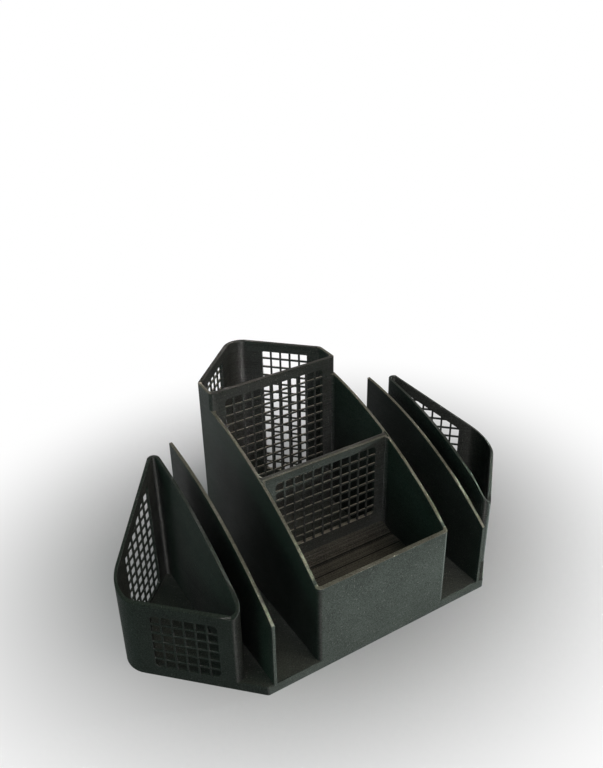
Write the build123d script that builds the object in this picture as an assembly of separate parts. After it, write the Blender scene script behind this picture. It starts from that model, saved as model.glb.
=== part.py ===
"""Desk stationery holder: a stepped box of compartments between upright slots and two corner pockets.

Millimetres, +Z up, front towards -Y. X is centred on the holder. The walls are drawn with Y counted from
the front edge of the base, and every piece is moved back by half the depth before it is written.
"""
from build123d import *
import os
from math import radians, sqrt, tan

# Base plate, and the grooves in it that the walls stand in
base_thickness = 5.0
base_front_radius = 1.5
base_back_radius = 3.0
seat_depth = 1.0
slip_fit = 0.05

# Box of compartments: straight front wall, two side walls with a curved rim that rises to the back
box_width = 69.0
front_wall_thickness = 2.0
front_wall_height = 45.7
front_corner_radius = 2.4
front_corner_return = 3.0
side_wall_thickness = 1.5
rim_back_height = 83.8
rim_radius = 188.0

# Cross dividers in the box: places of their front faces, and the hollow ribs that hold their ends
front_divider_y = 45.6
rear_divider_y = 90.8
divider_thickness = 2.0
divider_groove = 0.5
rib_radius = 2.0
rib_reach = 1.0
rib_width = 1.5

# Raised floor of the front compartment, which climbs to the divider in printed layers
scoop_floor_height = 18.4
scoop_radius = 15.0
scoop_rise = 3.6
layer_height = 0.3

# Rear tower behind the rear divider: two straight sides and two walls at 45 degrees
tower_height = 93.0
tower_side_length = 13.4
tower_wall_thickness = 2.0
tower_front_radius = 2.0
tower_corner_radius = 3.0
tower_apex_radius = 9.5

# Slots on each side of the box, and the thin plate between them
wide_slot_width = 20.5
narrow_slot_width = 7.7
slot_divider_thickness = 1.5
slot_rim_front_height = 38.0
slot_rim_back_height = 74.5
slot_rim_radius = 171.0

# Corner pockets: right-angled triangles in plan, with a sloping rim on their outer walls
pocket_front_y = 5.0
pocket_length = 86.3
pocket_wall_thickness = 1.5
pocket_tip_radius = 3.0
pocket_corner_radius = 12.5
pocket_front_height = 40.2
pocket_rim_angle = 32.2
pocket_tip_rim_angle = 50.0

# Mesh windows: square openings between thin bars that lie flush with the wall's outer face
mesh_pitch = 5.0
mesh_bar = 1.0
mesh_depth = 0.8
window_corner_cut = 1.2
least_cell_share = 0.15
divider_window_bottom = 28.4
front_window_rows = 8
divider_window_columns = 11
tower_window_margin = 5.0
tower_window_clearance = 9.0
tower_window_columns = 5
tower_window_start = 6.8
pocket_window_bottom = 6.0
pocket_window_rows = 6
pocket_window_columns = 6
pocket_window_margin = 5.0

# Smallest rounding left inside a corner
least_inner_radius = 0.4

# Places worked out from the sizes above
seat_floor = base_thickness - seat_depth
half_width = box_width / 2
inner_half = half_width - side_wall_thickness
tower_corner_y = rear_divider_y + tower_side_length
tower_apex_y = tower_corner_y + half_width
depth = tower_apex_y - tower_apex_radius * (sqrt(2) - 1)
slot_divider_x = half_width + wide_slot_width
pocket_face_x = slot_divider_x + slot_divider_thickness + narrow_slot_width
pocket_leg = pocket_length / sqrt(2)
pocket_back_y = pocket_front_y + pocket_length
pocket_outer_x = pocket_face_x + pocket_length / 2
pocket_outer_y = pocket_front_y + pocket_length / 2
past_edge = base_thickness

# Directions along the 45 degree walls of the right half, seen from above
towards_back_outward = Vector(1, 1, 0).normalized()
towards_back_inward = Vector(-1, 1, 0).normalized()


def outline(points, radii):
    """Closed flat shape with its own rounding at each corner."""
    return make_face(FilletPolyline(*points, radius=radii, close=True))


def mirrored(points):
    """Points of the right half, given from front to back, followed by the left half in ring order."""
    left_half = [(-x, y) for x, y in reversed(points) if x != 0]
    return points + left_half


def mirrored_radii(points, radii):
    """Corner radii in the same ring order as mirrored points."""
    left_half = [radius for (x, y), radius in reversed(list(zip(points, radii))) if x != 0]
    return radii + left_half


def ring_outline(points, radii):
    """Symmetric shape from the corners of its right half."""
    return outline(mirrored(points), mirrored_radii(points, radii))


def inner_radius(radius, wall):
    """Rounding inside a corner whose outer face has the given radius."""
    return max(radius - wall, least_inner_radius)


def upright(plan, bottom, top):
    """Wall from its plan, standing between two heights."""
    return Pos(0, 0, bottom) * extrude(plan, amount=top - bottom, dir=(0, 0, 1))


def side_profile(lines, half_span):
    """Solid as wide as twice the half span with a given side view, drawn in Y and Z."""
    face = Plane.YZ * make_face(lines)
    return Pos(-half_span, 0, 0) * extrude(face, amount=2 * half_span, dir=(1, 0, 0))


def left_of(piece):
    """The same piece on the left side."""
    return mirror(piece, about=Plane.YZ)


def wall_frame(corner, along, thickness):
    """Middle plane of a wall: X runs along it from a corner of its outer face, Y is up, Z is outward."""
    outward = Vector(along.Y, -along.X, 0)
    return Plane(origin=corner - outward * (thickness / 2), x_dir=along, z_dir=outward)


def window_span(count):
    """Length of a row of mesh openings with the bars between them."""
    return count * mesh_pitch - mesh_bar


def cut_corners(corners):
    """Outline of a window with each of its corners cut off."""
    points = []
    for index, corner in enumerate(corners):
        here = Vector(*corner)
        for other in (corners[index - 1], corners[(index + 1) % len(corners)]):
            towards = (Vector(*other) - here).normalized()
            points.append(here + towards * window_corner_cut)
    return points


def rows_within(height):
    """Whole mesh rows that a height has room for."""
    return int((height + mesh_bar) / mesh_pitch)


def mesh_cells(corners, columns, rows):
    """Mesh openings clipped by their window, without the scraps that its edge would leave."""
    window = make_face(Polyline(*cut_corners(corners), close=True))
    opening = mesh_pitch - mesh_bar
    cells = []
    for column in range(columns):
        for row in range(rows):
            place = Pos(column * mesh_pitch + opening / 2, row * mesh_pitch + opening / 2)
            for cell in (window & place * Rectangle(opening, opening)).faces():
                if cell.area > least_cell_share * opening**2:
                    cells.append(cell)
    return cells


def with_mesh(wall, frame, corners, columns, rows, thickness):
    """Wall with a window that is thinned from its inner face to a mesh in line with its outer face."""
    mesh_back = thickness / 2 - mesh_depth
    recess = extrude(make_face(Polyline(*corners, close=True)), amount=thickness, dir=(0, 0, -1))
    cells = mesh_cells(corners, columns, rows)
    openings = [frame * extrude(cell, amount=thickness, both=True) for cell in cells]
    return wall - frame * Pos(0, 0, mesh_back) * recess - openings


def straight_window(columns, rows):
    """Corners of a window, the lower left one at 0, 0."""
    width = window_span(columns)
    height = window_span(rows)
    return [(0, 0), (width, 0), (width, height), (0, height)]


def rim_profile():
    """Space under the rim of the box: front wall, rising arc, then the step up to the tower."""
    front_edge = -past_edge
    back_edge = tower_apex_y + past_edge
    arc = RadiusArc(
        (front_wall_thickness, front_wall_height),
        (rear_divider_y, rim_back_height),
        rim_radius,
    )
    front = Polyline((front_edge, 0), (front_edge, front_wall_height), arc @ 0)
    back = Polyline(
        arc @ 1,
        (rear_divider_y, tower_height),
        (back_edge, tower_height),
        (back_edge, 0),
        (front_edge, 0),
    )
    under_rim = side_profile(front + arc + back, half_width + past_edge)
    return under_rim - tower_front_corner() - left_of(tower_front_corner())


def tower_front_corner():
    """What the rounding of the tower's right front corner takes away, above the rim."""
    radius = tower_front_radius
    block = Pos(half_width - radius / 2, rear_divider_y + radius / 2) * Rectangle(radius, radius)
    round_post = Pos(half_width - radius, rear_divider_y + radius) * Circle(radius)
    return upright(block - round_post, rim_back_height, tower_height)


def box_outer_plan():
    """Outer face of the box and tower, seen from above."""
    points = [(half_width, 0), (half_width, tower_corner_y), (0, tower_apex_y)]
    return ring_outline(points, [front_corner_radius, tower_corner_radius, tower_apex_radius])


def box_inner_plan():
    """Inner face of the box and tower, seen from above."""
    apex_y = tower_apex_y - tower_wall_thickness * sqrt(2)
    points = [(inner_half, front_wall_thickness), (inner_half, apex_y - inner_half), (0, apex_y)]
    front = inner_radius(front_corner_radius, side_wall_thickness)
    corner = inner_radius(tower_corner_radius, tower_wall_thickness)
    apex = inner_radius(tower_apex_radius, tower_wall_thickness)
    return ring_outline(points, [front, corner, apex])


def divider_plan(front_face_y, clearance):
    """Cross divider that reaches into the side walls' grooves, or its seat, seen from above."""
    width = 2 * (inner_half + divider_groove + clearance)
    thickness = divider_thickness + 2 * clearance
    return Pos(0, front_face_y + divider_thickness / 2) * Rectangle(width, thickness)


def guide_ribs(front_face_y):
    """Hollow-faced ribs on the right side wall, in front of a divider and behind it."""
    plan = Pos(inner_half - rib_reach / 2, 0) * Rectangle(rib_reach, divider_thickness + 2 * rib_width)
    hollow_y = divider_thickness / 2 + rib_radius
    for side in (-1, 1):
        plan -= Pos(inner_half - rib_radius, side * hollow_y) * Circle(rib_radius)
    return upright(Pos(0, front_face_y + divider_thickness / 2) * plan, base_thickness, tower_height)


def mesh_divider(front_face_y, window_bottom, rows, under_rim):
    """Cross divider with its mesh window, cut off at the rim."""
    plate = upright(divider_plan(front_face_y, 0), seat_floor, tower_height) & under_rim
    start = Vector(-window_span(divider_window_columns) / 2, front_face_y, window_bottom)
    frame = wall_frame(start, Vector(1, 0, 0), divider_thickness)
    window = straight_window(divider_window_columns, rows)
    return with_mesh(plate, frame, window, divider_window_columns, rows, divider_thickness)


def scoop_floor():
    """Raised floor block: flat at the front, then printed layers that climb along a hollow arc."""
    back_y = front_divider_y - slip_fit
    front_y = front_wall_thickness + slip_fit
    half_span = inner_half - slip_fit
    front_round = inner_radius(front_corner_radius, side_wall_thickness)
    plan = ring_outline([(half_span, front_y), (half_span, back_y)], [front_round, rib_radius])
    start_y = front_divider_y - sqrt(scoop_radius**2 - (scoop_radius - scoop_rise) ** 2)
    stairs = [(0, base_thickness), (0, scoop_floor_height)]
    for layer in range(1, int(scoop_rise / layer_height)):
        rise = layer * layer_height
        edge_y = start_y + sqrt(scoop_radius**2 - (scoop_radius - rise) ** 2)
        stairs.append((edge_y, scoop_floor_height + rise - layer_height))
        stairs.append((edge_y, scoop_floor_height + rise))
    top = stairs[-1][1]
    stairs += [(front_divider_y, top), (front_divider_y, base_thickness)]
    return upright(plan, base_thickness, top) & side_profile(Polyline(*stairs, close=True), half_width)


def pocket_plan():
    """Outer face of the right pocket, seen from above."""
    points = [
        (pocket_face_x, pocket_front_y),
        (pocket_outer_x, pocket_outer_y),
        (pocket_face_x, pocket_back_y),
    ]
    return outline(points, [pocket_tip_radius, pocket_corner_radius, pocket_tip_radius])


def pocket_rim_plane(angle):
    """Plane that rises inward from the top of the right pocket's front panel."""
    uphill = towards_back_inward * tan(radians(angle))
    front_top = Vector(pocket_face_x, pocket_front_y, pocket_front_height)
    return Plane(origin=front_top, z_dir=Vector(-uphill.X, -uphill.Y, 1))


def inside_out(shape):
    """Separate bodies of a shape, in order of X."""
    return sorted(shape.solids(), key=lambda solid: solid.center().X)


def under_slot_rim(half_span):
    """Space under the curved rim that the slot divider and the pocket's side wall share."""
    arc = RadiusArc((0, slot_rim_front_height), (pocket_back_y, slot_rim_back_height), slot_rim_radius)
    edges = Polyline(arc @ 1, (pocket_back_y, seat_floor), (0, seat_floor), arc @ 0)
    return side_profile(arc + edges, half_span)


def pocket_pieces():
    """Front panel, outer corner, rear panel and side wall of the right pocket."""
    plan = pocket_plan()
    slope = tan(radians(pocket_rim_angle))
    apex_height = pocket_front_height + pocket_leg * slope
    full_ring = upright(plan - offset(plan, amount=-pocket_wall_thickness), seat_floor, apex_height)
    ring = split(full_ring, bisect_by=pocket_rim_plane(pocket_rim_angle), keep=Keep.BOTTOM)
    front_corner = Vector(pocket_face_x, pocket_front_y, 0)
    outer_corner = Vector(pocket_outer_x, pocket_outer_y, 0)

    tip_flat = pocket_tip_radius / tan(radians(22.5))
    flat = pocket_leg - tip_flat - pocket_corner_radius
    block = Box(flat, 2 * apex_height, 4 * pocket_wall_thickness)
    front_frame = wall_frame(front_corner, towards_back_outward, pocket_wall_thickness)
    rear_frame = wall_frame(outer_corner, towards_back_inward, pocket_wall_thickness)
    front_block = front_frame * Pos(tip_flat + flat / 2, 0, 0) * block
    rear_block = rear_frame * Pos(pocket_corner_radius + flat / 2, 0, 0) * block
    corner = inside_out(ring - front_block - rear_block)[-1]
    side_wall = inside_out(full_ring - front_block - rear_block)[0] & under_slot_rim(pocket_outer_x)
    side_wall = split(side_wall, bisect_by=pocket_rim_plane(pocket_tip_rim_angle), keep=Keep.BOTTOM)

    width = window_span(pocket_window_columns)
    side_margin = (flat - width) / 2
    front_start = front_frame * Pos(tip_flat + side_margin, pocket_window_bottom, 0)
    front_window = straight_window(pocket_window_columns, pocket_window_rows)
    front_panel = with_mesh(
        ring & front_block,
        front_start,
        front_window,
        pocket_window_columns,
        pocket_window_rows,
        pocket_wall_thickness,
    )

    rear_along = pocket_corner_radius + side_margin
    rear_start = rear_frame * Pos(rear_along, pocket_window_bottom, 0)
    drop = pocket_window_margin * sqrt(1 + slope**2)
    low_side = pocket_front_height + rear_along * slope - drop - pocket_window_bottom
    high_side = low_side + width * slope
    rear_window = [(0, 0), (width, 0), (width, high_side), (0, low_side)]
    rear_rows = int(high_side / mesh_pitch) + 1
    rear_panel = with_mesh(
        ring & rear_block,
        rear_start,
        rear_window,
        pocket_window_columns,
        rear_rows,
        pocket_wall_thickness,
    )
    return {
        "pocket_front_panel": front_panel,
        "pocket_outer_corner": corner,
        "pocket_rear_panel": rear_panel,
        "pocket_side_wall": side_wall,
    }


def box_pieces(under_rim):
    """Front wall, both side walls, both slanted rear walls and the corner post of the box."""
    ring = upright(box_outer_plan() - box_inner_plan(), seat_floor, tower_height)
    for front_face_y in (front_divider_y, rear_divider_y):
        ribs = guide_ribs(front_face_y)
        seat = upright(divider_plan(front_face_y, slip_fit), seat_floor, tower_height)
        ring = ring + ribs + left_of(ribs) - seat
    ring = ring & under_rim
    front_joint = Plane(origin=(0, front_corner_return, 0), z_dir=(0, 1, 0))
    front_wall = split(ring, bisect_by=front_joint, keep=Keep.BOTTOM)
    ring = split(ring, bisect_by=front_joint, keep=Keep.TOP)

    wall_length = half_width * sqrt(2)
    corner_flat = tower_corner_radius * tan(radians(22.5))
    flat = wall_length - corner_flat - tower_apex_radius
    frame = wall_frame(Vector(half_width, tower_corner_y, 0), towards_back_inward, tower_wall_thickness)
    block = Box(flat, 2 * tower_height, 4 * tower_wall_thickness)
    block = frame * Pos(corner_flat + flat / 2, 0, 0) * block
    left_side, corner_post, right_side = inside_out(ring - block - left_of(block))

    window_top = tower_height - tower_window_margin
    tower_window_rows = rows_within(window_top - base_thickness - tower_window_clearance)
    rear_window_rows = rows_within(window_top - divider_window_bottom)
    tower_window_bottom = window_top - window_span(tower_window_rows)
    rear_window_bottom = window_top - window_span(rear_window_rows)
    slanted = with_mesh(
        ring & block,
        frame * Pos(tower_window_start, tower_window_bottom, 0),
        straight_window(tower_window_columns, tower_window_rows),
        tower_window_columns,
        tower_window_rows,
        tower_wall_thickness,
    )
    front_divider = mesh_divider(front_divider_y, divider_window_bottom, front_window_rows, under_rim)
    rear_divider = mesh_divider(rear_divider_y, rear_window_bottom, rear_window_rows, under_rim)
    return {
        "front_wall": front_wall,
        "left_side_wall": left_side,
        "right_side_wall": right_side,
        "rear_corner_post": corner_post,
        "right_rear_mesh_wall": slanted,
        "left_rear_mesh_wall": left_of(slanted),
        "front_mesh_divider": front_divider,
        "rear_mesh_divider": rear_divider,
    }


def slot_divider():
    """Right plate between the wide and the narrow slot, under the slots' curved rim."""
    plate = under_slot_rim(slot_divider_thickness / 2)
    return Pos(slot_divider_x + slot_divider_thickness / 2, 0, 0) * plate


def slot_divider_plan():
    """Foot of the right slot divider, seen from above."""
    middle_x = slot_divider_x + slot_divider_thickness / 2
    return Pos(middle_x, pocket_back_y / 2) * Rectangle(slot_divider_thickness, pocket_back_y)


def base_plate():
    """Plate that follows the outer walls, with a groove for the foot of each wall."""
    points = [
        (pocket_face_x - pocket_front_y, 0),
        (pocket_outer_x, pocket_outer_y),
        (pocket_face_x, pocket_back_y),
    ]
    under_wings = ring_outline(points, [base_front_radius, pocket_corner_radius, base_back_radius])
    pocket = pocket_plan()
    pocket_inside = offset(pocket, amount=-pocket_wall_thickness - slip_fit)
    pocket_groove = offset(pocket, amount=slip_fit) - pocket_inside
    slot_groove = offset(slot_divider_plan(), amount=slip_fit, kind=Kind.INTERSECTION)
    grooves = [
        offset(box_outer_plan(), amount=slip_fit) - offset(box_inner_plan(), amount=-slip_fit),
        divider_plan(front_divider_y, slip_fit),
        divider_plan(rear_divider_y, slip_fit),
        pocket_groove,
        left_of(pocket_groove),
        slot_groove,
        left_of(slot_groove),
    ]
    plate = upright(under_wings + box_outer_plan(), 0, base_thickness)
    return plate - [upright(groove, seat_floor, base_thickness + seat_depth) for groove in grooves]


def all_pieces():
    """Every piece of the holder by its name."""
    pieces = {"base_plate": base_plate(), "scoop_floor": scoop_floor()}
    pieces.update(box_pieces(rim_profile()))
    sided = {"slot_divider": slot_divider(), **pocket_pieces()}
    for name, piece in sided.items():
        pieces["right_" + name] = piece
        pieces["left_" + name] = left_of(piece)
    return pieces


os.makedirs("parts", exist_ok=True)
for name, piece in all_pieces().items():
    export_step(Pos(0, -depth / 2, 0) * piece, f"parts/{name}.step")
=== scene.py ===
"""Desk stationery holder in matte black layer-printed plastic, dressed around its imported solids.

Metres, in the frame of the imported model: +Z up, the low front wall towards -Y, X centred on the holder.
"""

from math import pi, radians

import bmesh
import bpy
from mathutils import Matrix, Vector
from mathutils.bvhtree import BVHTree


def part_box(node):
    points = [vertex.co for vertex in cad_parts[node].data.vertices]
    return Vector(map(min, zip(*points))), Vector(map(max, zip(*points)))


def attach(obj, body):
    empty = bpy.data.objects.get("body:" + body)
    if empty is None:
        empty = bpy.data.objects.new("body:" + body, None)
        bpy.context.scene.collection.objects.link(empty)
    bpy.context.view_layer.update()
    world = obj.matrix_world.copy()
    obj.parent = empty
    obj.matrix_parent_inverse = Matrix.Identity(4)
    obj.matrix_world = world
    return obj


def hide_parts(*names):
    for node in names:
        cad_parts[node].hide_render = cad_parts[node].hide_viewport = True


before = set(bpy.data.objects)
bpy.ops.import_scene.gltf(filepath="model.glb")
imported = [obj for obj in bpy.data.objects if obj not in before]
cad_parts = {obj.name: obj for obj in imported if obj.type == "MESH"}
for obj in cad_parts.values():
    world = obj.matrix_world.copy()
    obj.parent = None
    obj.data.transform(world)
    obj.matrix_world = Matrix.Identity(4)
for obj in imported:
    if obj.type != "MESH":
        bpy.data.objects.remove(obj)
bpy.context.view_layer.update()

MILLIMETRE = 0.001

# Directions of the walls, seen from above
ACROSS = Vector((1, 0, 0))
FRONT_TO_BACK = Vector((0, 1, 0))
RISING = Vector((1, 1, 0)).normalized()
FALLING = Vector((-1, 1, 0)).normalized()
UP = Vector((0, 0, 1))

# Walls with a mesh window, and the way that each one runs
MESH_PIECES = {
    "front_mesh_divider": ACROSS,
    "rear_mesh_divider": ACROSS,
    "left_rear_mesh_wall": RISING,
    "right_rear_mesh_wall": FALLING,
    "left_pocket_front_panel": FALLING,
    "right_pocket_front_panel": RISING,
    "left_pocket_rear_panel": RISING,
    "right_pocket_rear_panel": FALLING,
}

# Plain walls
WALL_PIECES = [
    "front_wall",
    "left_side_wall",
    "right_side_wall",
    "rear_corner_post",
    "left_slot_divider",
    "right_slot_divider",
    "left_pocket_outer_corner",
    "right_pocket_outer_corner",
    "left_pocket_side_wall",
    "right_pocket_side_wall",
]

# Rounding that the nozzle leaves on the free edges of each kind of piece
MESH_EDGE_MM = 0.15
WALL_EDGE_MM = 0.22
BASE_EDGE_MM = 0.45
STEP_EDGE_MM = 0.06

# Facets across that rounding
MESH_EDGE_FACETS = 2
WALL_EDGE_FACETS = 3
BASE_EDGE_FACETS = 3
STEP_EDGE_FACETS = 1

# Gaps between beads that show on the scoop floor: distance behind the front wall's face, width and depth
SCOOP_GAPS_MM = [(31.3, 0.45, 0.35), (37.7, 0.30, 0.25), (38.5, 0.55, 0.45)]

# Height that the scoop's steps climb above its flat floor
SCOOP_RISE_MM = 3.3

# Faces nearer than this to a neighbour are joints, and their edges stay sharp
JOINT_GAP_MM = 0.08

# An edge counts as sharp, faces as one flat face, and shading as smooth by these angles
SHARP_EDGE = radians(28)
FLAT_FACE = radians(0.3)
SMOOTH_SHADING = radians(40)

# A line across a wall is a bar's edge where this many corners lie on it
BAR_LINE_CORNERS = 4

# Corners this near are one, and cuts grip corners this near
MERGE_MM = 0.002
CUT_GRIP_MM = 0.002

# How the plastic was laid down: height of a layer, and width of a bead on the flat tops
LAYER_MM = 0.3
BEAD_MM = 0.45

# Darkest and palest tone of upright faces, of the base and of the scoop
UPRIGHT_TONES = ((0.027, 0.029, 0.0275, 1), (0.075, 0.080, 0.0765, 1))
BASE_TONES = ((0.031, 0.034, 0.031, 1), (0.076, 0.082, 0.074, 1))
SCOOP_TONES = ((0.028, 0.026, 0.023, 1), (0.112, 0.104, 0.087, 1))

# The same for rims, partly their own paler tone and partly painted light: pale where they fall in small
# steps, darker with painted shade where they run level, darkest with painted shade on the pockets
RIM_TONES = ((0.110, 0.099, 0.084, 1), (0.265, 0.238, 0.202, 1))
LEVEL_RIM_TONES = ((0.030, 0.028, 0.025, 1), (0.070, 0.065, 0.059, 1))
POCKET_RIM_TONES = ((0.026, 0.030, 0.027, 1), (0.060, 0.068, 0.062, 1))

# Pale specks in the plastic, and the painted shade between two beads, in the scoop's sunk gaps and on its low
# risers
SPECK_TONE = (0.13, 0.13, 0.12, 1)
GAP_SHADE_TONE = (0.006, 0.006, 0.006, 1)

# Upward part of a face's normal, from where a face begins to be a flat or a lit top to where it is one
FLAT_TOP = (0.90, 0.98)
LIT_TOP = (0.35, 0.60)

# Noise in the plastic, in waves to the millimetre: drawn-out waves along the layers, grain, clouds and specks
WAVE_SCALE = (0.006, 0.006, 1.1)
GRAIN_SCALE = 1.8
CLOUD_SCALE = 0.06
SPECK_SCALE = 1.3
SPECK_NOISE = (0.74, 0.80)
SPECK_STRENGTH = 0.6

# Shares of clouds, single layers or beads, and waves in the tone, of which the grain makes up the rest
CLOUD_SHARE = 0.22
LINE_SHARE = 0.06
SCOOP_LINE_SHARE = 0.18
STREAK_SHARE = 0.06
TOWER_STREAK_SHARE = 0.26
TONE_NOISE = (0.31, 0.69)

# Beads by chance number that leave a gap beside them, and how dark the painted shade in these gaps is on the
# base and the scoop
GAP_CHANCE = (0.70, 0.80)
BASE_GAP_SHADE = 0.4
SCOOP_GAP_SHADE = 0.6

# Painted shade in the scoop's sunk gaps, the depths below the flat where it sets in, and its reach up the
# risers
SUNK_SHADE = 0.9
SUNK_EDGE_MM = (0.15, 0.05)
SHADED_STEPS_MM = 1.5

# Depth below a level rim down to which its painted shade reaches, and over which it is whole
LEVEL_RIM_MM = 0.7
WHOLE_RIM_MM = 0.35

# Gloss of the plastic
ROUGHNESS = (0.36, 0.50)
GLOSS_NOISE = (0.2, 0.8)
REFRACTION = 1.46
SPECULAR_LEVEL = 0.05
DRAWN_OUT_GLOSS = 0.9

# Relief of the plastic, as heights that the bump follows
LAYER_RELIEF_MM = 0.070
BEAD_RELIEF_MM = 0.035
CHANCE_RELIEF_MM = 0.010
WAVE_RELIEF_MM = 0.03
GRAIN_RELIEF_MM = 0.016
SPECK_RELIEF_MM = 0.03
GAP_RELIEF_MM = -0.08
RELIEF_STRENGTH = 0.8

# Floor, and the grey pool of painted shade on it round the holder: place, stretch, where it fades, and white
# at its middle
WHITE = (1, 1, 1, 1)
FLOOR_SIZE = 6.0
FLOOR_TONE = (0.18, 0.18, 0.19, 1)
FLOOR_ROUGHNESS = 0.9
FLOOR_SPECULAR_LEVEL = 0.1
POOL_PLACE = (-0.005, -0.013, 0)
POOL_SCALE = (0.91, 1.02, 1.0)
POOL_FADING = (0.039, 0.203)
POOL_WHITE = 0.07

# Faint green glow of the surroundings on the holder
GLOW_TONE = (0.42, 1.0, 0.84, 1)
GLOW_STRENGTH = 0.09

# Points that the lamps face: middle of the holder, its front wall and its tower
MIDDLE = (0, 0, 0.05)
FRONT_WALL = (0, -0.067, 0.028)
TOWER = (-0.01, 0.06, 0.08)

# Camera at the photograph's place, as fitted to the holder's edges
CAMERA_PLACE = (-0.16442, -0.27115, 0.27800)
CAMERA_TILT = radians(60.56)
CAMERA_ROLL = radians(0.93)
CAMERA_TURN = radians(-31.82)
LENS_MM = 37.81
SENSOR_HEIGHT_MM = 36.0


# Shader nodes


class Nodes:
    """Small helper that adds nodes to one tree and links them."""

    def __init__(self, tree):
        self.tree = tree

    def add(self, kind, inputs=None, **settings):
        """Node of a kind with its settings, and its inputs linked or set."""
        node = self.tree.nodes.new(kind)
        for key, value in settings.items():
            setattr(node, key, value)
        for key, value in (inputs or {}).items():
            self.feed(node.inputs[key], value)
        return node

    def feed(self, socket, value):
        """Links an output to a socket, or sets its constant."""
        if isinstance(value, bpy.types.NodeSocket):
            self.tree.links.new(value, socket)
        else:
            socket.default_value = value

    def math(self, operation, first, second=0.0, third=0.0):
        """Result of one sum."""
        node = self.add("ShaderNodeMath", {0: first, 1: second, 2: third}, operation=operation)
        return node.outputs[0]

    def range(self, value, low, high, to_low, to_high, smooth=True):
        """Value carried from one range to another."""
        settings = {"interpolation_type": "SMOOTHSTEP" if smooth else "LINEAR"}
        inputs = {"Value": value, "From Min": low, "From Max": high, "To Min": to_low, "To Max": to_high}
        return self.add("ShaderNodeMapRange", inputs, **settings).outputs["Result"]

    def between(self, share, first, second):
        """Number part of the way from a first to a second."""
        return self.add("ShaderNodeMix", {0: share, 2: first, 3: second}).outputs[0]

    def direction_between(self, share, first, second):
        """Direction part of the way from a first to a second."""
        return self.add("ShaderNodeMix", {0: share, 4: first, 5: second}, data_type="VECTOR").outputs[1]

    def blend(self, share, first, second):
        """Colour part of the way from a first to a second."""
        return self.add("ShaderNodeMix", {0: share, 6: first, 7: second}, data_type="RGBA").outputs[2]

    def noise(self, place, scale, detail, roughness=0.5):
        """Cloudy noise at a place."""
        inputs = {"Vector": place, "Scale": scale, "Detail": detail, "Roughness": roughness}
        return self.add("ShaderNodeTexNoise", inputs).outputs["Fac"]

    def ridges(self, along, width):
        """Rounded ridges of a width across a coordinate, and a chance number for each."""
        count = self.math("DIVIDE", along, width)
        swell = self.math("ABSOLUTE", self.math("SINE", self.math("MULTIPLY", count, pi)))
        number = self.math("FLOOR", count)
        chance = self.add("ShaderNodeTexWhiteNoise", {"W": number}, noise_dimensions="1D").outputs["Value"]
        return swell, chance

    def looked_at(self):
        """One for rays from the camera, off glossy faces and through clear ones, zero for all others."""
        path = self.add("ShaderNodeLightPath")
        seen = self.math("MAXIMUM", path.outputs["Is Camera Ray"], path.outputs["Is Glossy Ray"])
        return self.math("MAXIMUM", seen, path.outputs["Is Transmission Ray"])


class Paint(Nodes):
    """New material and its nodes."""

    def __init__(self, name):
        self.material = bpy.data.materials.new(name)
        self.material.use_nodes = True
        super().__init__(self.material.node_tree)
        self.surface = self.tree.nodes["Principled BSDF"]

    def set(self, socket, value):
        """Links or sets one input of the surface."""
        self.feed(self.surface.inputs[socket], value)


# Printed plastic


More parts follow.
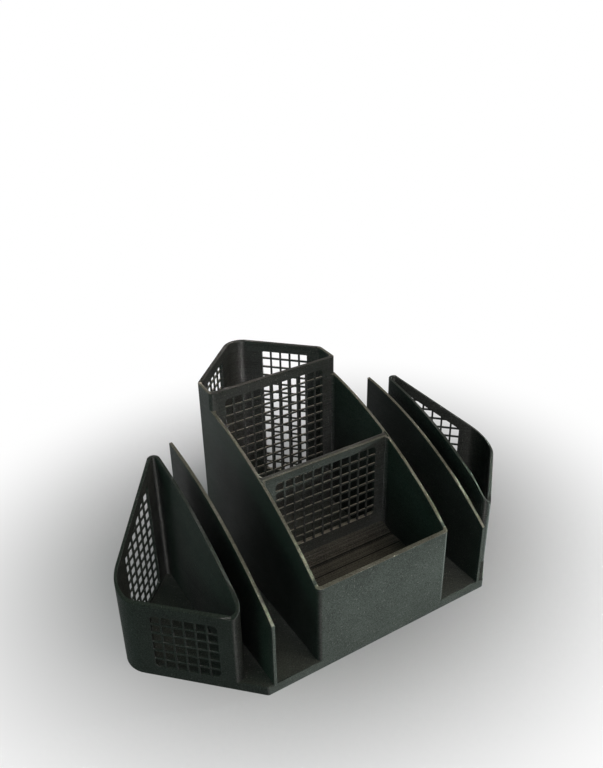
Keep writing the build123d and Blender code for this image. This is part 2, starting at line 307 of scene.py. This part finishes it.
class PrintedPlastic(Paint):
    """Matte black plastic: stacked layers on upright faces, beads on flat tops, fine grain all over.

    Beads are counted along the bead way, and some leave a gap painted with shade as dark as the gap shade.
    Lines and streaks are the shares of single layers or beads and of waves in the tone. Where the height of a
    scoop's flat is given, what lies below it and the low risers above it get painted shade. Where the height
    of a level rim is given, that rim gets painted shade, darker than the other tops.
    """

    def __init__(
        self,
        name,
        top_tones,
        bead_way=RISING,
        gap_shade=0.0,
        lines=LINE_SHARE,
        streaks=STREAK_SHARE,
        scoop_flat_mm=None,
        rim_mm=None,
    ):
        super().__init__(name)
        self.read_surface()
        self.lay_down(bead_way)
        self.roughen()
        self.leave_gaps(gap_shade, scoop_flat_mm)
        self.colour(top_tones, lines, streaks, rim_mm)
        self.gloss(bead_way)
        self.emboss()

    def read_surface(self):
        """Place and height in millimetres, and how far a face looks up."""
        place = self.add("ShaderNodeTexCoord").outputs["Object"]
        scaled = self.add("ShaderNodeVectorMath", {0: place, "Scale": 1 / MILLIMETRE}, operation="SCALE")
        self.place_mm = scaled.outputs[0]
        self.height_mm = self.add("ShaderNodeSeparateXYZ", {0: self.place_mm}).outputs["Z"]
        normal = self.add("ShaderNodeNewGeometry").outputs["Normal"]
        upward = self.add("ShaderNodeSeparateXYZ", {0: normal}).outputs["Z"]
        self.flat_top = self.range(self.math("ABSOLUTE", upward), *FLAT_TOP, 0.0, 1.0)
        self.lit_top = self.range(upward, *LIT_TOP, 0.0, 1.0)

    def lay_down(self, bead_way):
        """Layers on upright faces and beads on flat tops, each with its chance number."""
        layer_swell, layer_chance = self.ridges(self.height_mm, LAYER_MM)
        along = self.add("ShaderNodeVectorMath", {0: self.place_mm, 1: bead_way}, operation="DOT_PRODUCT")
        self.bead_swell, self.bead_chance = self.ridges(along.outputs["Value"], BEAD_MM)
        self.swell = self.between(self.flat_top, layer_swell, self.bead_swell)
        self.chance = self.between(self.flat_top, layer_chance, self.bead_chance)

    def roughen(self):
        """Waves along the layers, grain, clouds and specks."""
        drawn_out = self.add("ShaderNodeMapping", {"Vector": self.place_mm, "Scale": WAVE_SCALE}).outputs[0]
        self.waves = self.noise(drawn_out, 1.0, detail=4.0, roughness=0.65)
        self.grain = self.noise(self.place_mm, GRAIN_SCALE, detail=2.0, roughness=0.6)
        self.cloud = self.noise(self.place_mm, CLOUD_SCALE, detail=3.0)
        speck_noise = self.noise(self.place_mm, SPECK_SCALE, detail=0.0)
        self.speck = self.range(speck_noise, *SPECK_NOISE, 0.0, SPECK_STRENGTH)

    def leave_gaps(self, gap_shade, scoop_flat_mm):
        """Painted shade between some beads and, on a scoop, in its sunk gaps and on its low risers."""
        beside_bead = self.math("SUBTRACT", 1.0, self.bead_swell)
        gap = self.math("MULTIPLY", self.range(self.bead_chance, *GAP_CHANCE, 0.0, 1.0), beside_bead)
        self.gap = self.math("MULTIPLY", gap, self.math("MULTIPLY", self.flat_top, gap_shade))
        if scoop_flat_mm:
            # Painted shade on the scoop's low risers and in its sunk gaps
            riser = self.math("SUBTRACT", 1.0, self.flat_top)
            shaded_mm = scoop_flat_mm + SHADED_STEPS_MM
            low = self.range(self.height_mm, scoop_flat_mm, shaded_mm, SUNK_SHADE, 0.0)
            sunk_mm, level_mm = (scoop_flat_mm - edge for edge in SUNK_EDGE_MM)
            sunk = self.range(self.height_mm, sunk_mm, level_mm, SUNK_SHADE, 0.0)
            shaded = self.math("MAXIMUM", self.math("MULTIPLY", riser, low), sunk)
            self.gap = self.math("MAXIMUM", self.gap, shaded)

    def colour(self, top_tones, lines, streaks, rim_mm):
        """Tone of each place, from its darkest to its palest."""
        tone = self.math("MULTIPLY_ADD", self.waves, streaks, self.math("MULTIPLY", self.chance, lines))
        tone = self.math("MULTIPLY_ADD", self.cloud, CLOUD_SHARE, tone)
        tone = self.math("MULTIPLY_ADD", self.grain, 1.0 - CLOUD_SHARE - lines - streaks, tone)
        tone = self.range(tone, *TONE_NOISE, 0.0, 1.0)
        top = self.blend(tone, *top_tones)
        # Painted shade: a level rim takes the darker level rim tones
        if rim_mm:
            rim = self.range(self.height_mm, rim_mm - LEVEL_RIM_MM, rim_mm - WHOLE_RIM_MM, 0.0, 1.0)
            top = self.blend(rim, top, self.blend(tone, *LEVEL_RIM_TONES))
        # Faces that look up take the top tones: on the walls' rims these are paler, partly the plastic's own
        # tone and partly painted light
        plain = self.blend(self.lit_top, self.blend(tone, *UPRIGHT_TONES), top)
        specked = self.blend(self.speck, plain, SPECK_TONE)
        # Painted shade in the bead gaps, the sunk gaps and on the low risers, laid over the specked tone
        self.set("Base Color", self.blend(self.gap, specked, GAP_SHADE_TONE))

    def gloss(self, bead_way):
        """Soft gloss that the ridges of the layers and beads draw out."""
        noise = self.between(0.5, self.grain, self.chance)
        self.set("Roughness", self.range(noise, *GLOSS_NOISE, *ROUGHNESS, smooth=False))
        self.set("IOR", REFRACTION)
        self.set("Specular IOR Level", SPECULAR_LEVEL)
        self.set("Anisotropic", DRAWN_OUT_GLOSS)
        self.set("Tangent", self.direction_between(self.flat_top, UP, bead_way))

    def emboss(self):
        """Bump of the layers and beads, and of what is on them."""
        ridge = self.range(self.flat_top, 0.0, 1.0, LAYER_RELIEF_MM, BEAD_RELIEF_MM, smooth=False)
        height = self.math("MULTIPLY", self.swell, ridge)
        for pattern, relief_mm in (
            (self.chance, CHANCE_RELIEF_MM),
            (self.waves, WAVE_RELIEF_MM),
            (self.grain, GRAIN_RELIEF_MM),
            (self.speck, SPECK_RELIEF_MM),
            (self.gap, GAP_RELIEF_MM),
        ):
            height = self.math("MULTIPLY_ADD", pattern, relief_mm, height)
        inputs = {"Strength": RELIEF_STRENGTH, "Distance": MILLIMETRE, "Height": height}
        self.set("Normal", self.add("ShaderNodeBump", inputs).outputs[0])


# Pieces with the nozzle's rounding on their edges


def only(piece):
    """Makes one piece the selected and active one."""
    bpy.ops.object.select_all(action="DESELECT")
    piece.select_set(True)
    bpy.context.view_layer.objects.active = piece


def neighbours_of(name):
    """Surface of all other nodes, to find where a piece touches them."""
    corners = []
    faces = []
    for other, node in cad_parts.items():
        if other == name:
            continue
        start = len(corners)
        corners += [vertex.co.copy() for vertex in node.data.vertices]
        faces += [[start + index for index in face.vertices] for face in node.data.polygons]
    return BVHTree.FromPolygons(corners, faces)


def joint_faces(mesh, neighbours):
    """Faces of which most lies against a neighbour."""
    touching = {}
    whole = {}
    mesh.calc_loop_triangles()
    for triangle in mesh.loop_triangles:
        face = triangle.polygon_index
        near = neighbours.find_nearest(triangle.center, JOINT_GAP_MM * MILLIMETRE)[0] is not None
        whole[face] = whole.get(face, 0.0) + triangle.area
        touching[face] = touching.get(face, 0.0) + (triangle.area if near else 0.0)
    return {face for face in whole if touching[face] > 0.5 * whole[face]}


def select_outer_edges(mesh, neighbours):
    """Selects the outward sharp edges that no joint touches."""
    joints = joint_faces(mesh, neighbours)
    work = bmesh.from_edit_mesh(mesh)
    work.faces.ensure_lookup_table()
    for edge in work.edges:
        outward = edge.calc_face_angle_signed(0.0) > SHARP_EDGE
        touched = any(face.index in joints for face in edge.link_faces)
        edge.select_set(outward and not touched)
    bmesh.update_edit_mesh(mesh)


def bar_lines(mesh, way):
    """Places along a direction that many corners share: the edges of the mesh bars."""
    corners_at = {}
    for vertex in mesh.vertices:
        place = round(vertex.co.dot(way) / MILLIMETRE, 3)
        corners_at[place] = corners_at.get(place, 0) + 1
    return [place * MILLIMETRE for place, count in corners_at.items() if count >= BAR_LINE_CORNERS]


def cut_across(way, place):
    """Cuts the whole piece by a plane at a place along a direction, and selects the cut."""
    bpy.ops.mesh.select_all(action="SELECT")
    bpy.ops.mesh.bisect(plane_co=way * place, plane_no=way, threshold=CUT_GRIP_MM * MILLIMETRE)


def cut_along_bars(mesh, way):
    """Cuts a wall along the edges of its mesh bars, so that every flat of it is a plain four-sided face."""
    for direction in (way, UP):
        for place in bar_lines(mesh, direction):
            cut_across(direction, place)
            bpy.ops.mesh.mark_seam(clear=False)
    bpy.ops.mesh.select_all(action="SELECT")


def scoop_flat():
    """Height of the flat of the scoop floor."""
    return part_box("scoop_floor")[1][2] - SCOOP_RISE_MM * MILLIMETRE


def cut_scoop_gaps(mesh):
    """Sinks narrow gaps across the flat of the scoop floor."""
    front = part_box("front_wall")[0][1]
    flat = scoop_flat()
    for place, width, depth in SCOOP_GAPS_MM:
        middle = front + place * MILLIMETRE
        reach = 0.5 * width * MILLIMETRE
        cut_across(FRONT_TO_BACK, middle - reach)
        cut_across(FRONT_TO_BACK, middle + reach)
        bpy.ops.mesh.select_all(action="DESELECT")
        work = bmesh.from_edit_mesh(mesh)
        for face in work.faces:
            centre = face.calc_center_median()
            level = abs(centre.z - flat) < CUT_GRIP_MM * MILLIMETRE and face.normal.z > FLAT_TOP[0]
            face.select_set(level and abs(centre.y - middle) < reach)
        bmesh.update_edit_mesh(mesh)
        bpy.ops.mesh.extrude_region_move(TRANSFORM_OT_translate={"value": (0, 0, -depth * MILLIMETRE)})
    bpy.ops.mesh.select_all(action="SELECT")


def rounded_piece(name, plastic, edge_mm, facets, way=None):
    """Copy of a node with its triangles joined to whole faces and its free edges rounded."""
    piece = bpy.data.objects.new(name + "_print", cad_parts[name].data.copy())
    bpy.context.scene.collection.objects.link(piece)
    piece.data.materials.clear()
    only(piece)
    bpy.ops.object.mode_set(mode="EDIT")
    bpy.ops.mesh.select_mode(type="EDGE")
    bpy.ops.mesh.select_all(action="SELECT")
    bpy.ops.mesh.remove_doubles(threshold=MERGE_MM * MILLIMETRE)
    if way:
        piece.update_from_editmode()
        cut_along_bars(piece.data, way)
    if name == "scoop_floor":
        cut_scoop_gaps(piece.data)
    bpy.ops.mesh.dissolve_limited(angle_limit=FLAT_FACE, use_dissolve_boundaries=False, delimit={"SEAM"})
    bpy.ops.mesh.select_all(action="DESELECT")
    piece.update_from_editmode()
    select_outer_edges(piece.data, neighbours_of(name))
    bpy.ops.mesh.bevel(
        offset=edge_mm * MILLIMETRE,
        offset_type="OFFSET",
        segments=facets,
        profile=0.5,
        affect="EDGES",
        clamp_overlap=False,
        loop_slide=True,
    )
    bpy.ops.object.mode_set(mode="OBJECT")
    bpy.ops.object.shade_smooth_by_angle(angle=SMOOTH_SHADING)
    weighted = piece.modifiers.new("flat faces", "WEIGHTED_NORMAL")
    weighted.keep_sharp = True
    bpy.ops.object.modifier_apply(modifier=weighted.name)
    piece.data.materials.append(plastic.material)
    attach(piece, "root")
    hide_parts(name)


def kind_of(name):
    """Kind of wall that a piece belongs to."""
    if "pocket" in name:
        return "pockets"
    if name == "front_mesh_divider":
        return "front divider"
    if "mesh" in name or "post" in name:
        return "tower"
    return "walls"


def level_rim_plastic(name, highest_node):
    """Plastic of walls with a level rim that gets painted shade, and whose layers show more than on the other
    walls.
    """
    rim_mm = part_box(highest_node)[1][2] / MILLIMETRE
    return PrintedPlastic(name, RIM_TONES, streaks=TOWER_STREAK_SHARE, rim_mm=rim_mm)


def scoop_plastic():
    """Plastic of the scoop floor, with beads across the holder and dark gaps."""
    return PrintedPlastic(
        "printed_scoop",
        SCOOP_TONES,
        bead_way=FRONT_TO_BACK,
        gap_shade=SCOOP_GAP_SHADE,
        lines=SCOOP_LINE_SHARE,
        scoop_flat_mm=scoop_flat() / MILLIMETRE,
    )


def holder():
    """Every piece of the holder, rounded and in its plastic."""
    plastics = {
        "walls": PrintedPlastic("printed_walls", RIM_TONES),
        "front divider": level_rim_plastic("printed_front_divider", "front_mesh_divider"),
        "tower": level_rim_plastic("printed_tower", "rear_mesh_divider"),
        # The pockets' tops take the darkest rim tones, as painted shade
        "pockets": PrintedPlastic("printed_pockets", POCKET_RIM_TONES),
    }
    for name, way in MESH_PIECES.items():
        rounded_piece(name, plastics[kind_of(name)], MESH_EDGE_MM, MESH_EDGE_FACETS, way)
    for name in WALL_PIECES:
        rounded_piece(name, plastics[kind_of(name)], WALL_EDGE_MM, WALL_EDGE_FACETS)
    base_plastic = PrintedPlastic("printed_base", BASE_TONES, gap_shade=BASE_GAP_SHADE)
    rounded_piece("base_plate", base_plastic, BASE_EDGE_MM, BASE_EDGE_FACETS)
    rounded_piece("scoop_floor", scoop_plastic(), STEP_EDGE_MM, STEP_EDGE_FACETS)


# Floor, light and camera


def floor():
    """Pale floor with a grey pool of painted shade round the holder, which fades to white."""
    bpy.ops.object.select_all(action="DESELECT")
    bpy.ops.mesh.primitive_plane_add(size=FLOOR_SIZE, location=(0, 0, 0))
    plane = bpy.context.object
    plane.name = "floor"
    paint = Paint("floor_paint")
    paint.set("Base Color", FLOOR_TONE)
    paint.set("Roughness", FLOOR_ROUGHNESS)
    paint.set("Specular IOR Level", FLOOR_SPECULAR_LEVEL)

    place = paint.add("ShaderNodeTexCoord").outputs["Object"]
    pool = paint.add("ShaderNodeMapping", {"Vector": place, "Location": POOL_PLACE, "Scale": POOL_SCALE})
    distance = paint.add("ShaderNodeVectorMath", {0: pool.outputs[0]}, operation="LENGTH").outputs["Value"]
    # Painted shade: less white is mixed in near the holder, where the floor's lit grey shows as a pool
    whiteness = paint.range(distance, *POOL_FADING, POOL_WHITE, 1.0)
    share = paint.math("MULTIPLY", paint.looked_at(), whiteness)
    white = paint.add("ShaderNodeEmission", {"Color": WHITE, "Strength": 1.0})
    mixed = paint.add("ShaderNodeMixShader", {0: share, 1: paint.surface.outputs[0], 2: white.outputs[0]})
    paint.feed(paint.tree.nodes["Material Output"].inputs["Surface"], mixed.outputs[0])
    plane.data.materials.append(paint.material)


def surroundings():
    """White surroundings to look at, which give the holder only a faint glow."""
    world = bpy.data.worlds.new("studio")
    world.use_nodes = True
    sky = Nodes(world.node_tree)
    glow = sky.tree.nodes["Background"]
    sky.feed(glow.inputs["Color"], GLOW_TONE)
    sky.feed(glow.inputs["Strength"], GLOW_STRENGTH)
    white = sky.add("ShaderNodeBackground", {"Color": WHITE, "Strength": 1.0})
    mixed = sky.add("ShaderNodeMixShader", {0: sky.looked_at(), 1: glow.outputs[0], 2: white.outputs[0]})
    sky.feed(sky.tree.nodes["World Output"].inputs["Surface"], mixed.outputs[0])
    bpy.context.scene.world = world


def soft_box(name, place, aim, size, watts, colour, spread=pi):
    """Rectangular studio lamp that faces a point, with a grid where its spread is less than half a turn."""
    lamp = bpy.data.lights.new(name, "AREA")
    lamp.shape = "RECTANGLE"
    lamp.size, lamp.size_y = size
    lamp.energy = watts
    lamp.color = colour
    lamp.spread = spread
    stand = bpy.data.objects.new(name, lamp)
    stand.location = place
    stand.rotation_euler = (Vector(aim) - Vector(place)).to_track_quat("-Z", "Y").to_euler()
    bpy.context.scene.collection.objects.link(stand)
    return stand


def lamps():
    """Window beam on the front wall, warm lamp and spot from above, and soft boxes behind and on the left."""
    soft_box(
        "window",
        place=(0.91, -0.41, 0.08),
        aim=FRONT_WALL,
        size=(0.10, 0.04),
        watts=0.114,
        colour=(0.86, 1.0, 0.92),
        spread=radians(10),
    )
    soft_box(
        "lamp",
        place=(0.25, -0.45, 0.95),
        aim=MIDDLE,
        size=(0.5, 0.5),
        watts=3.6,
        colour=(1.0, 0.89, 0.77),
    )
    soft_box(
        "spot",
        place=(-0.12, -0.45, 1.02),
        aim=TOWER,
        size=(0.10, 0.10),
        watts=0.017,
        colour=(1.0, 0.90, 0.96),
        spread=radians(7),
    )
    soft_box(
        "back",
        place=(0.0, 1.0, 0.14),
        aim=MIDDLE,
        size=(1.6, 0.18),
        watts=6.0,
        colour=(1.0, 1.0, 1.0),
    )
    soft_box(
        "fill",
        place=(-0.95, -0.1, 0.35),
        aim=MIDDLE,
        size=(0.6, 0.4),
        watts=0.8,
        colour=(0.28, 1.0, 0.60),
    )


def gleam():
    """Lamp behind the camera that shows only as gloss, in the rounded corners of tower and pockets."""
    stand = soft_box(
        "gleam",
        place=(-0.32, -0.87, 0.77),
        aim=TOWER,
        size=(0.9, 0.3),
        watts=14.0,
        colour=(1.0, 0.95, 0.93),
        spread=radians(40),
    )
    stand.visible_diffuse = False


def camera():
    """Camera at the photograph's place."""
    lens = bpy.data.cameras.new("camera")
    lens.sensor_fit = "VERTICAL"
    lens.sensor_height = SENSOR_HEIGHT_MM
    lens.lens = LENS_MM
    viewer = bpy.data.objects.new("camera", lens)
    viewer.location = CAMERA_PLACE
    viewer.rotation_euler = (CAMERA_TILT, CAMERA_ROLL, CAMERA_TURN)
    bpy.context.scene.collection.objects.link(viewer)
    bpy.context.scene.camera = viewer


holder()
floor()
surroundings()
lamps()
gleam()
camera()
bpy.context.scene.view_settings.view_transform = "Standard"
